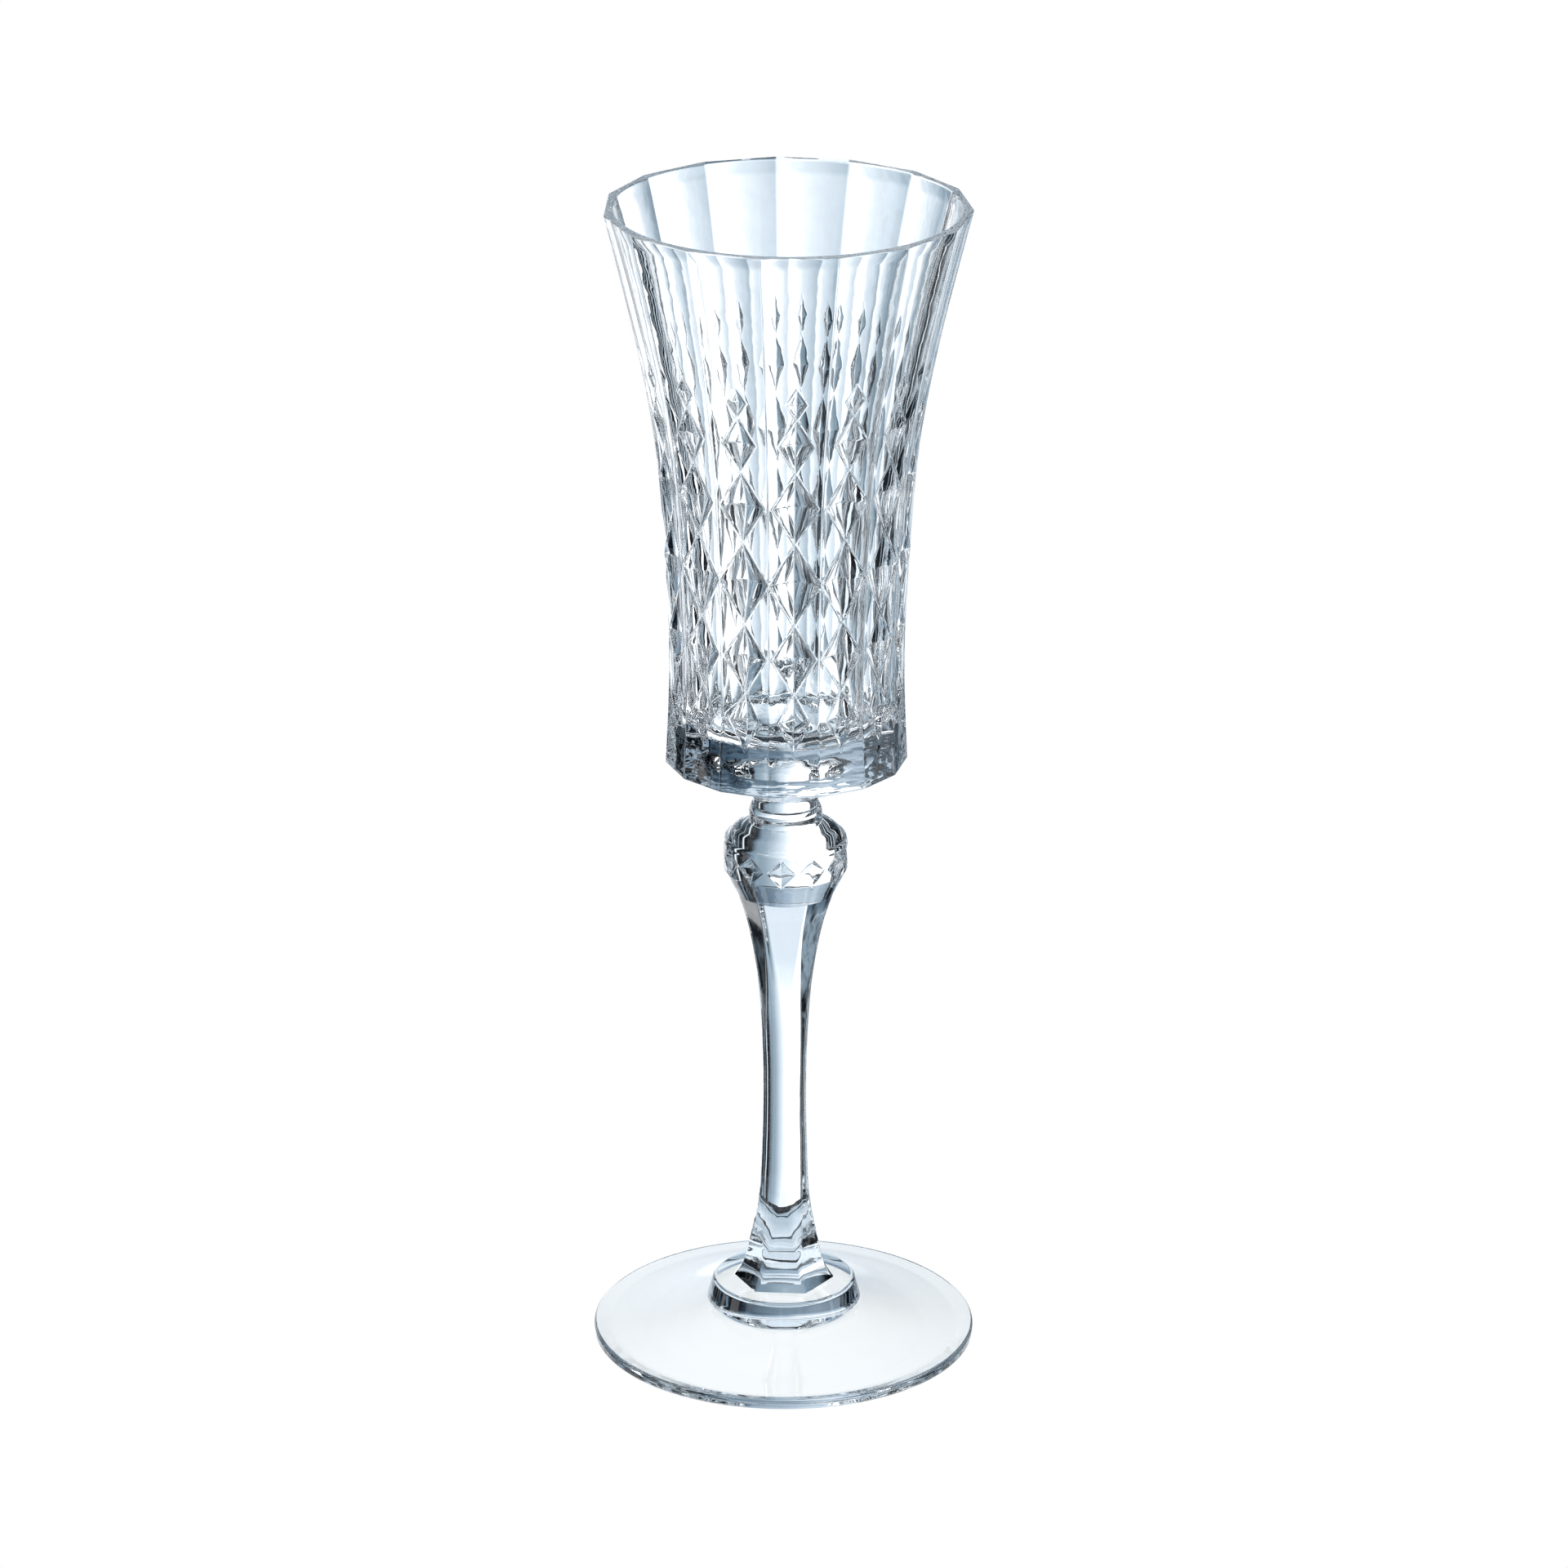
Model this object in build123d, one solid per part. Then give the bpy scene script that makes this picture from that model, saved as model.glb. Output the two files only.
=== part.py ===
from build123d import *
import os
from math import asin, cos, radians, sin

# Champagne flute in clear pressed crystal. All sizes are in millimetres.
# +Z is up. The origin is the middle of the circle that the foot rests on.
# A panel of the bowl faces -Y.

# Heights of the seats where one piece of glass is fused to the next
FOOT_TOP = 7.1
STEM_BOTTOM = 11.2
KNOP_BOTTOM = 91.3
KNOP_TOP = 105.5
COLLAR_TOP = 109.0
BOWL_BOTTOM = 118.1
HEIGHT = 225.0

# Bowl: flat panels outside, round inside. Outlines are (radius, height) points.
PANELS = 15
BOWL_OUTLINE = [(22.85, BOWL_BOTTOM), (22.15, 138.0), (23.15, 162.8), (24.5, 179.5),
                (27.6, 197.7), (30.7, 211.5), (34.05, HEIGHT)]
BOWL_INSIDE = [(17.25, 132.2), (17.75, 145.0), (18.8, 162.8), (20.7, 179.5),
               (24.6, 197.7), (28.0, 211.5), (31.8, HEIGHT)]
BOWL_SECTIONS = 12
BOWL_FLOOR = 124.6
FLOOR_CORNER = 7.0
BOTTOM_BEVEL = 0.45

# Sunken diamonds on each panel: heights of their tips, top to bottom, and widths
DIAMOND_TIPS = [198.5, 192.5, 181.7, 167.8, 151.7, 138.3, 127.0]
DIAMOND_WIDTHS = [3.8, 6.4, 8.4, 9.2, 8.1, 5.7]
DIAMOND_DEPTH_RATIO = 0.26
TIP_GAP = 0.2
CUTTER_REACH = 1.3

# Neck and collar
NECK_RADIUS = 6.15
NECK_FLARE_RADIUS = 9.2
NECK_FLARE_START = 115.7
COLLAR_RADIUS = 6.9
COLLAR_TOP_RADIUS = 6.3

# Knop, with its band of small diamonds
KNOP_RADIUS = 11.66
KNOP_TOP_RADIUS = 7.0
KNOP_BAND_BOTTOM = 96.0
KNOP_BAND_TOP = 101.5
KNOP_SHOULDER = [(11.5, 102.3), (10.55, 103.4), (9.35, 104.3)]
KNOP_DIAMONDS = 12
KNOP_DIAMOND_HALF_HEIGHT = 2.7
KNOP_DIAMOND_HALF_WIDTH = 2.8
KNOP_DIAMOND_DEPTH = 1.0
KNOP_CUTTER_REACH = 1.8

# Stem: (radius to a corner, height, roundness). Roundness 0 is a sharp hexagon, 1 a circle.
STEM_SIDES = 6
STEM_TURN = -7.8
STEM_RADIUS = 9.3
STEM_SECTIONS = [(9.6, STEM_BOTTOM, 0.12), (8.2, 13.2, 0.15), (7.3, 15.6, 0.2), (6.35, 20.0, 0.35),
                 (5.1, 26.5, 0.7), (4.45, 36.0, 0.9), (4.15, 50.0, 0.93), (4.4, 62.0, 0.85),
                 (5.05, 72.0, 0.5), (6.2, 80.0, 0.18), (7.6, 86.2, 0.08), (STEM_RADIUS, KNOP_BOTTOM, 0.06)]

# Base button and foot
BUTTON_RADIUS = 14.7
BUTTON_TOP_RADIUS = 13.6
BUTTON_ROUNDING = 1.0
FOOT_RADIUS = 36.57
FOOT_EDGE = 2.0
FOOT_CORNER = 0.6
FOOT_SHOULDER = (25.0, 3.8)
REST_RING_INNER = 33.0
FOOT_HOLLOW = 4.4
HOLLOW_RADIUS = 13.5
HOLLOW_SHOULDER = (24.5, 1.3)


def curve_through(points):
    """A smooth line in the XZ plane through (radius, height) points."""
    return Spline(*[(radius, 0, height) for radius, height in points])


def radius_at(curve, height):
    """The radius of an upward curve at a height."""
    low, high = 0.0, 1.0
    for _ in range(40):
        middle = (low + high) / 2
        if curve.position_at(middle).Z < height:
            low = middle
        else:
            high = middle
    return curve.position_at(low).X


def round_piece(outline):
    """A solid of revolution from a closed outline in the XZ plane."""
    return revolve(make_face(outline), Axis.Z)


def pyramid(apex, corners, reach):
    """A four-sided cutter: its apex inside the glass, its corners carried outwards past the surface."""
    top, right, bottom, left = [apex + (corner - apex) * reach for corner in corners]
    triangles = [(apex, top, right), (apex, right, bottom), (apex, bottom, left), (apex, left, top),
                 (top, right, bottom), (top, bottom, left)]
    return Solid(Shell([Face(Wire.make_polygon(list(t), close=True)) for t in triangles]))


def bowl_diamond(curve, upper_tip, lower_tip, width):
    """The cutter of one diamond on the panel that faces +X. A panel's middle is nearer the axis than
    its edges by the cosine of half its angle."""
    flatten = cos(radians(180 / PANELS))
    upper, lower = upper_tip - TIP_GAP / 2, lower_tip + TIP_GAP / 2
    middle = (upper + lower) / 2
    face_radius = radius_at(curve, middle) * flatten
    apex = Vector(face_radius - DIAMOND_DEPTH_RATIO * width, 0, middle)
    corners = [Vector(radius_at(curve, upper) * flatten, 0, upper), Vector(face_radius, width / 2, middle),
               Vector(radius_at(curve, lower) * flatten, 0, lower), Vector(face_radius, -width / 2, middle)]
    return pyramid(apex, corners, CUTTER_REACH)


def bowl():
    """The tall cup: a fifteen-sided shell with a round inside and columns of sunken diamonds."""
    outside = curve_through(BOWL_OUTLINE)
    sections = []
    for step in range(BOWL_SECTIONS):
        height = BOWL_BOTTOM + (HEIGHT - BOWL_BOTTOM) * step / (BOWL_SECTIONS - 1)
        section = RegularPolygon(radius_at(outside, height), PANELS, rotation=90)
        sections.append(Plane.XY.offset(height) * section)
    body = loft(sections)
    body = chamfer(body.faces().sort_by(Axis.Z)[0].edges(), BOTTOM_BEVEL)

    wall = curve_through(BOWL_INSIDE)
    lowest_radius, lowest = BOWL_INSIDE[0]
    corner_x, corner_z = lowest_radius - FLOOR_CORNER, BOWL_FLOOR + FLOOR_CORNER
    diagonal = FLOOR_CORNER * cos(radians(45))
    corner = ThreePointArc((corner_x, 0, BOWL_FLOOR), (corner_x + diagonal, 0, corner_z - diagonal),
                           (lowest_radius, 0, corner_z))
    hollow = round_piece(wall + corner + Line((lowest_radius, 0, corner_z), (lowest_radius, 0, lowest))
                         + Polyline((BOWL_INSIDE[-1][0], 0, HEIGHT), (0, 0, HEIGHT),
                                    (0, 0, BOWL_FLOOR), (corner_x, 0, BOWL_FLOOR)))
    body -= hollow

    rows = list(zip(DIAMOND_TIPS, DIAMOND_TIPS[1:], DIAMOND_WIDTHS))
    for panel in range(PANELS):
        turn = Rot(0, 0, -90 + panel * 360 / PANELS)
        body -= [turn * bowl_diamond(outside, *row) for row in rows]
    return body


def neck():
    """The short drum of glass under the bowl, spreading where it meets the bowl."""
    flare = ThreePointArc((NECK_RADIUS, 0, NECK_FLARE_START), (NECK_RADIUS + 0.95, 0, NECK_FLARE_START + 1.5),
                          (NECK_FLARE_RADIUS, 0, BOWL_BOTTOM))
    return round_piece(flare + Line((NECK_RADIUS, 0, COLLAR_TOP), (NECK_RADIUS, 0, NECK_FLARE_START))
                       + Polyline((NECK_FLARE_RADIUS, 0, BOWL_BOTTOM), (0, 0, BOWL_BOTTOM),
                                  (0, 0, COLLAR_TOP), (NECK_RADIUS, 0, COLLAR_TOP)))


def collar():
    """The thin ring above the knop, rounded towards its top."""
    side = ThreePointArc((COLLAR_RADIUS, 0, KNOP_TOP), (COLLAR_RADIUS - 0.05, 0, (KNOP_TOP + COLLAR_TOP) / 2),
                         (COLLAR_TOP_RADIUS, 0, COLLAR_TOP))
    return round_piece(side + Polyline((COLLAR_TOP_RADIUS, 0, COLLAR_TOP), (0, 0, COLLAR_TOP),
                                       (0, 0, KNOP_TOP), (COLLAR_RADIUS, 0, KNOP_TOP)))


def knop_diamond():
    """The cutter of one small diamond on the side of the knop that faces +X."""
    middle = (KNOP_BAND_BOTTOM + KNOP_BAND_TOP) / 2
    swing = asin(KNOP_DIAMOND_HALF_WIDTH / KNOP_RADIUS)
    side_x, side_y = KNOP_RADIUS * cos(swing), KNOP_RADIUS * sin(swing)
    apex = Vector(KNOP_RADIUS - KNOP_DIAMOND_DEPTH, 0, middle)
    corners = [Vector(KNOP_RADIUS, 0, middle + KNOP_DIAMOND_HALF_HEIGHT), Vector(side_x, side_y, middle),
               Vector(KNOP_RADIUS, 0, middle - KNOP_DIAMOND_HALF_HEIGHT), Vector(side_x, -side_y, middle)]
    return pyramid(apex, corners, KNOP_CUTTER_REACH)


def knop():
    """The fat ring in the stem, with a shoulder above, a diamond band and a taper below."""
    shoulder = curve_through([(KNOP_RADIUS, KNOP_BAND_TOP), *KNOP_SHOULDER, (KNOP_TOP_RADIUS, KNOP_TOP)])
    taper = ThreePointArc((9.34, 0, KNOP_BOTTOM), (10.7, 0, 94.0), (KNOP_RADIUS, 0, KNOP_BAND_BOTTOM))
    body = round_piece(shoulder + taper
                       + Line((KNOP_RADIUS, 0, KNOP_BAND_BOTTOM), (KNOP_RADIUS, 0, KNOP_BAND_TOP))
                       + Polyline((KNOP_TOP_RADIUS, 0, KNOP_TOP), (0, 0, KNOP_TOP),
                                  (0, 0, KNOP_BOTTOM), (9.34, 0, KNOP_BOTTOM)))
    for diamond in range(KNOP_DIAMONDS):
        turn = Rot(0, 0, -90 + STEM_TURN + diamond * 360 / KNOP_DIAMONDS)
        body -= turn * knop_diamond()
    return body


def stem_section(corner_radius, height, roundness):
    """A hexagon with rounded corners. Its corners stay at corner_radius from the axis."""
    half_angle = radians(180 / STEM_SIDES)
    apothem = corner_radius / ((1 - roundness) / cos(half_angle) + roundness)
    hexagon = RegularPolygon(apothem / cos(half_angle), STEM_SIDES, rotation=STEM_TURN)
    return Plane.XY.offset(height) * fillet(hexagon.vertices(), roundness * apothem)


def stem():
    """The waisted stem: a hexagon at both ends that softens to nearly round in the middle."""
    return loft([stem_section(*section) for section in STEM_SECTIONS])


def base_button():
    """The low round step under the stem, with a rounded upper edge."""
    side = Line((BUTTON_RADIUS, 0, FOOT_TOP), (BUTTON_TOP_RADIUS, 0, STEM_BOTTOM))
    body = round_piece(side + Polyline((BUTTON_TOP_RADIUS, 0, STEM_BOTTOM), (0, 0, STEM_BOTTOM),
                                       (0, 0, FOOT_TOP), (BUTTON_RADIUS, 0, FOOT_TOP)))
    return fillet(body.edges().filter_by(GeomType.CIRCLE).sort_by(Axis.Z)[-1], BUTTON_ROUNDING)


def foot():
    """The round foot: a thin dished disc whose underside follows its top, with a flat ring to rest on."""
    outline = Polyline((0, 0, FOOT_HOLLOW), (HOLLOW_RADIUS, 0, FOOT_HOLLOW),
                       (HOLLOW_SHOULDER[0], 0, HOLLOW_SHOULDER[1]), (REST_RING_INNER, 0, 0), (FOOT_RADIUS, 0, 0),
                       (FOOT_RADIUS, 0, FOOT_EDGE), (FOOT_SHOULDER[0], 0, FOOT_SHOULDER[1]),
                       (BUTTON_RADIUS, 0, FOOT_TOP), (0, 0, FOOT_TOP), close=True)
    body = round_piece(outline)
    bends = {HOLLOW_RADIUS: 12.0, HOLLOW_SHOULDER[0]: 40.0, FOOT_SHOULDER[0]: 40.0}
    for radius, rounding in bends.items():
        bend = [edge for edge in body.edges().filter_by(GeomType.CIRCLE) if abs(edge.radius - radius) < 0.01]
        body = fillet(bend, rounding)
    rim = [edge for edge in body.edges().filter_by(GeomType.CIRCLE) if abs(edge.radius - FOOT_RADIUS) < 0.01]
    return fillet(rim, FOOT_CORNER)


PIECES = {
    "bowl": bowl,
    "neck": neck,
    "collar": collar,
    "knop": knop,
    "stem": stem,
    "base_button": base_button,
    "foot": foot,
}

os.makedirs("parts", exist_ok=True)
for name, make in PIECES.items():
    export_step(make(), f"parts/{name}.step")
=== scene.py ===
import math

import bpy
import numpy as np
from mathutils import Euler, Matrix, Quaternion, Vector


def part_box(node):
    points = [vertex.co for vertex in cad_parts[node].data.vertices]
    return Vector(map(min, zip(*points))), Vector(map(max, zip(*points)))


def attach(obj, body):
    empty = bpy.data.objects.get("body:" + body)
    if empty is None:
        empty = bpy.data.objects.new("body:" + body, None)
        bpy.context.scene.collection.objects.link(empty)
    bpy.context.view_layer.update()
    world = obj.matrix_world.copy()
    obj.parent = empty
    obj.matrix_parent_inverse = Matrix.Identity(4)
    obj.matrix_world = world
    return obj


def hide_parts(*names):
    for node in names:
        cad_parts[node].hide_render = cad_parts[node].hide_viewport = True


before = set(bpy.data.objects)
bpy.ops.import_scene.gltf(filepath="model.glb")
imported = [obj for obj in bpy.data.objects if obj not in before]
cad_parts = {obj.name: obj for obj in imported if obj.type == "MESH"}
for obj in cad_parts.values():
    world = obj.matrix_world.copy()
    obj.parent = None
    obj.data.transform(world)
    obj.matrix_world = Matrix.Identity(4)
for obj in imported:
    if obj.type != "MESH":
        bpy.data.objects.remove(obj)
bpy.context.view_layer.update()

# A champagne flute in clear pressed crystal: seven pieces of glass fused to each other.
# Sizes are in millimetres unless a comment says otherwise. Scene objects are in metres.
MM = 0.001


def node_box(name):
    """A CAD node's lowest and highest corners in millimetres."""
    low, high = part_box(name)
    return np.array(low) / MM, np.array(high) / MM


# Heights of the fused joints, and the widest radii, from the CAD nodes
FOOT_TOP = node_box("base_button")[0][2]
STEM_BOTTOM = node_box("stem")[0][2]
KNOP_BOTTOM = node_box("knop")[0][2]
KNOP_TOP = node_box("knop")[1][2]
COLLAR_TOP = node_box("neck")[0][2]
BOWL_BOTTOM = node_box("bowl")[0][2]
HEIGHT = node_box("bowl")[1][2]
FOOT_RADIUS = node_box("foot")[1][0]
BUTTON_RADIUS = node_box("base_button")[1][0]
KNOP_RADIUS = node_box("knop")[1][0]


def new_object(name, data):
    """An object in the scene that shows some data."""
    thing = bpy.data.objects.new(name, data)
    bpy.context.collection.objects.link(thing)
    return thing


# ---- camera ----

# Distances in metres, and the lens and its sensor in millimetres
CAMERA_DISTANCE = 1.2058
CAMERA_HEIGHT = 0.572
CAMERA_AZIMUTH = math.radians(-3.8)
CAMERA_PITCH = math.radians(20.86)
CAMERA_ROLL = math.radians(0.21)
CAMERA_SIDE_STEP = -0.0003
CAMERA_LENS = 157.7
SENSOR_WIDTH = 36


def make_camera():
    data = bpy.data.cameras.new("camera")
    data.sensor_width = SENSOR_WIDTH
    data.lens = CAMERA_LENS
    camera = new_object("camera", data)
    right = Vector((math.cos(CAMERA_AZIMUTH), math.sin(CAMERA_AZIMUTH), 0))
    back = Vector((math.sin(CAMERA_AZIMUTH), -math.cos(CAMERA_AZIMUTH), 0))
    camera.location = back * CAMERA_DISTANCE + right * CAMERA_SIDE_STEP + Vector((0, 0, CAMERA_HEIGHT))
    level = Euler((math.pi / 2 - CAMERA_PITCH, 0, CAMERA_AZIMUTH)).to_quaternion()
    camera.rotation_mode = "QUATERNION"
    camera.rotation_quaternion = level @ Quaternion((0, 0, 1), CAMERA_ROLL)
    bpy.context.scene.camera = camera


make_camera()


# ---- materials ----

def new_material(name):
    material = bpy.data.materials.new(name)
    material.use_nodes = True
    material.node_tree.nodes.clear()
    return material, material.node_tree


def feed(tree, socket, value):
    """Links a socket to another node's output, or sets its value."""
    if isinstance(value, bpy.types.NodeSocket):
        tree.links.new(value, socket)
    else:
        socket.default_value = value


def add(tree, kind, **inputs):
    """A node of a kind, with some inputs set or linked."""
    node = tree.nodes.new(kind)
    for name, value in inputs.items():
        feed(tree, node.inputs[name.replace("_", " ")], value)
    return node


GLASS_IOR = 1.53
CLEAR_TINT = (0.965, 0.98, 0.985)


def glass_material(name, ripple_scale, ripple_height):
    """Clear glass with the faint waviness that pressing and fire-polishing leave. The scale is
    in ripples a metre and the height in metres."""
    material, tree = new_material(name)
    where = add(tree, "ShaderNodeTexCoord").outputs["Object"]
    ripple = add(tree, "ShaderNodeTexNoise", Vector=where, Scale=ripple_scale, Detail=1.5, Roughness=0.4)
    bump = add(tree, "ShaderNodeBump", Height=ripple.outputs["Fac"], Distance=ripple_height, Strength=1.0)
    shader = add(tree, "ShaderNodeBsdfPrincipled", Base_Color=(*CLEAR_TINT, 1), Roughness=0.0, IOR=GLASS_IOR,
                 Transmission_Weight=1.0, Normal=bump.outputs["Normal"])
    add(tree, "ShaderNodeOutputMaterial", Surface=shader.outputs["BSDF"])
    return material


def joint_material():
    """The inside of a fused seat, where there is no surface to see."""
    material, tree = new_material("fused_seat")
    clear = add(tree, "ShaderNodeBsdfTransparent")
    add(tree, "ShaderNodeOutputMaterial", Surface=clear.outputs["BSDF"])
    return material


# A piece's material slots
SMOOTH, SEAT, WAVY = 0, 1, 2


# ---- mesh helpers ----

def smooth_curve(points):
    """A natural cubic through (radius, height) points, as a function from height to radius."""
    points = sorted(points, key=lambda p: p[1])
    r = np.array([p[0] for p in points], float)
    z = np.array([p[1] for p in points], float)
    n = len(z)
    step = np.diff(z)
    matrix, right = np.eye(n), np.zeros(n)
    for i in range(1, n - 1):
        matrix[i, i - 1:i + 2] = step[i - 1], 2 * (step[i - 1] + step[i]), step[i]
        right[i] = 6 * ((r[i + 1] - r[i]) / step[i] - (r[i] - r[i - 1]) / step[i - 1])
    bend = np.linalg.solve(matrix, right)

    def value(height):
        height = np.asarray(height, float)
        i = np.clip(np.searchsorted(z, height) - 1, 0, n - 2)
        a, b = z[i + 1] - height, height - z[i]
        h = step[i]
        return (bend[i] * a ** 3 + bend[i + 1] * b ** 3) / (6 * h) + (r[i] / h - bend[i] * h / 6) * a \
            + (r[i + 1] / h - bend[i + 1] * h / 6) * b
    return value


def round_abs(x, soft):
    """The size of x, with its sharp bottom rounded over a stretch of plus or minus soft."""
    x = np.abs(x)
    return np.where(x < soft, (x * x + soft * soft) / (2 * soft), x)


def round_max(x, soft):
    """x where it is above 0, else 0, with the corner rounded over plus or minus soft."""
    return np.where(x > soft, x, np.where(x < -soft, 0, (x + soft) ** 2 / (4 * soft)))


def pit(u, z, upper, lower, half_width, depth):
    """How deep a sunken four-facet diamond is at a place: u across and z up. Its facets are a
    little hollow, steeper at the lip than in the middle, and a low bead runs along the lip."""
    middle, half_height = (upper + lower) / 2, (upper - lower) / 2
    across = round_abs(u, VALLEY_SOFTNESS) / half_width
    along = round_abs(z - middle, VALLEY_SOFTNESS) / half_height
    from_lip = 1 - across - along
    inward = round_max(from_lip, LIP_SOFTNESS / half_width)
    bead = np.maximum(0, 1 - (from_lip * half_width / BEAD_REACH) ** 2) ** 2
    return depth * inward * (1 + FACET_HOLLOW * (1 - inward)) - BEAD_HEIGHT * bead


def rounded_outline(corners, steps=6):
    """Points and outward normals along a line through (radius, height, rounding) corners.
    The glass lies on the left of the line's direction."""
    out = []
    spots = [np.array(c[:2], float) for c in corners]
    for i, corner in enumerate(corners):
        here = spots[i]
        before = here - spots[i - 1] if i else spots[1] - spots[0]
        after = spots[i + 1] - here if i + 1 < len(corners) else before
        before, after = before / np.linalg.norm(before), after / np.linalg.norm(after)
        side_in, side_out = np.array([before[1], -before[0]]), np.array([after[1], -after[0]])
        if i in (0, len(corners) - 1) or corner[2] == 0:
            mean = side_in + side_out
            out.append((here, mean / np.linalg.norm(mean)))
            continue
        turn = math.atan2(before[0] * after[1] - before[1] * after[0], before @ after)
        reach = corner[2] * math.tan(abs(turn) / 2)
        start = here - before * reach
        centre = start - side_in * corner[2] * math.copysign(1, turn)
        for k in range(steps + 1):
            angle = turn * k / steps
            spin = np.array([[math.cos(angle), -math.sin(angle)], [math.sin(angle), math.cos(angle)]])
            normal = spin @ side_in
            out.append((centre + normal * corner[2] * math.copysign(1, turn), normal))
    return out


def quarter_turn(steps):
    """Angles from 0 to a right angle."""
    return [k * math.pi / 2 / steps for k in range(steps + 1)]


class Rings:
    """A closed mesh from stacked rings of points, with a normal for each point."""

    def __init__(self, columns):
        self.columns = columns
        self.points, self.normals, self.faces, self.slots = [], [], [], []
        self.last = None

    def ring(self, points, normals, slot=SMOOTH):
        """Adds a ring and joins it to the one before, in a material slot."""
        start = len(self.points)
        self.points += [tuple(p) for p in points]
        self.normals += [tuple(n) for n in normals]
        if self.last is not None:
            for j in range(self.columns):
                k = (j + 1) % self.columns
                self.faces.append((self.last + j, self.last + k, start + k, start + j))
                self.slots.append(slot)
        self.last = start

    def cap(self, height, up, slot=SEAT):
        """Closes the last ring with a fan round a point on the axis."""
        start = len(self.points)
        opening = not self.faces
        self.points.append((0, 0, height))
        self.normals.append((0, 0, up))
        for j in range(self.columns):
            k = (j + 1) % self.columns
            pair = (k, j) if opening else (j, k)
            self.faces.append((self.last + pair[0], self.last + pair[1], start))
            self.slots.append(slot)

    def object(self, name, materials):
        """The mesh as an object with material slots."""
        mesh = bpy.data.meshes.new(name)
        mesh.from_pydata([tuple(c * MM for c in p) for p in self.points], [], self.faces)
        for material in materials:
            mesh.materials.append(material)
        mesh.polygons.foreach_set("material_index", self.slots)
        mesh.polygons.foreach_set("use_smooth", [True] * len(self.faces))
        mesh.update()
        mesh.normals_split_custom_set_from_vertices(self.normals)
        return new_object(name, mesh)


def circle(columns, turn=0.0):
    """Cosines and sines of even steps round a circle."""
    angles = turn + np.arange(columns) * 2 * math.pi / columns
    return np.cos(angles), np.sin(angles)


def lathe(name, outline, materials, columns, seats, turn=0.0, top_seat=None):
    """A round piece from an outline of points with normals that starts and ends on the axis.
    seats lists the outline steps that are fused to a neighbour. top_seat is the outline of a
    fused face on the flat top that is not round."""
    rings = Rings(columns)
    c, s = circle(columns, turn)
    first, last = outline[0], outline[-1]
    for i, (spot, normal) in enumerate(outline[1:-1], 1):
        points = np.stack([spot[0] * c, spot[0] * s, np.full(columns, spot[1])], 1)
        normals = np.stack([normal[0] * c, normal[0] * s, np.full(columns, normal[1])], 1)
        rings.ring(points, normals, SEAT if i in seats else SMOOTH)
        if i == 1:
            rings.cap(first[0][1], first[1][1], SEAT if 1 in seats else SMOOTH)
    if top_seat is not None:
        flat_top = np.full((columns, 1), last[0][1])
        rings.ring(np.hstack([top_seat, flat_top]), np.tile([0.0, 0.0, 1.0], (columns, 1)))
    rings.cap(last[0][1], last[1][1], SEAT if len(outline) - 1 in seats else SMOOTH)
    return rings.object(name, materials)


# The step over which a surface's slope is measured
SLOPE_STEP = 0.002


def grid_normals(surface, u, z):
    """Normals of surface(u, z) by differences."""
    across = surface(u + SLOPE_STEP, z) - surface(u - SLOPE_STEP, z)
    along = surface(u, z + SLOPE_STEP) - surface(u, z - SLOPE_STEP)
    normal = np.cross(across, along)
    return normal / np.linalg.norm(normal, axis=-1, keepdims=True)


def finish_piece(piece, name):
    """Puts a glass piece in the place of its CAD node."""
    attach(piece, "root")
    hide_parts(name)


# ---- bowl ----

PANELS = 15
PANEL_ANGLE = 2 * math.pi / PANELS
# (radius, height) of the panels' corners, upwards, and of the round inside
BOWL_OUTLINE = [(22.85, BOWL_BOTTOM), (22.15, 138.0), (23.15, 162.8), (24.5, 179.5),
                (27.6, 197.7), (30.7, 211.5), (34.05, HEIGHT)]
BOWL_INSIDE = [(17.25, 132.2), (17.75, 145.0), (18.8, 162.8), (20.7, 179.5),
               (24.6, 197.7), (28.0, 211.5), (31.8, HEIGHT)]
BOWL_FLOOR = 124.6
FLOOR_CORNER = 7.0
DIAMOND_TIPS = [198.5, 192.5, 181.7, 167.8, 151.7, 138.3, 127.0]
DIAMOND_WIDTHS = [3.8, 6.4, 8.4, 9.4, 8.1, 5.7]
DIAMOND_DEPTH_RATIO = 0.26
VALLEY_SOFTNESS = 0.22
LIP_SOFTNESS = 0.12
BEAD_REACH = 0.42
BEAD_HEIGHT = 0.05
FACET_HOLLOW = 0.35
EDGE_REACH = 0.32
BOTTOM_ROUNDING = 0.45
RIM_ROUNDING = 0.4
# The outside below this height is of the wavy glass
BASE_TOP = 126.5

# Rows of the mesh where the bowl is plain, and the least step between places across a panel
ROWS_ABOVE_DIAMONDS, GAP_ABOVE_DIAMONDS = 22, 0.5
ROWS_BELOW_DIAMONDS, GAP_BELOW_DIAMONDS = 9, 0.4
INNER_WALL_ROWS, INNER_SLOPE_STEP = 40, 0.01
ROUNDING_STEPS = 4
FLOOR_CORNER_STEPS = 8
LEAST_PANEL_STEP = 0.06
# The flat bottom and floor each have one more ring, by the radius of the neck and of the inner wall's foot
BOTTOM_RING_SHARE = 1.5
FLOOR_RING_SHARE = 0.4

bowl_radius = smooth_curve(BOWL_OUTLINE)
inner_radius = smooth_curve(BOWL_INSIDE)
DIAMONDS = list(zip(DIAMOND_TIPS, DIAMOND_TIPS[1:], DIAMOND_WIDTHS))


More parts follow.
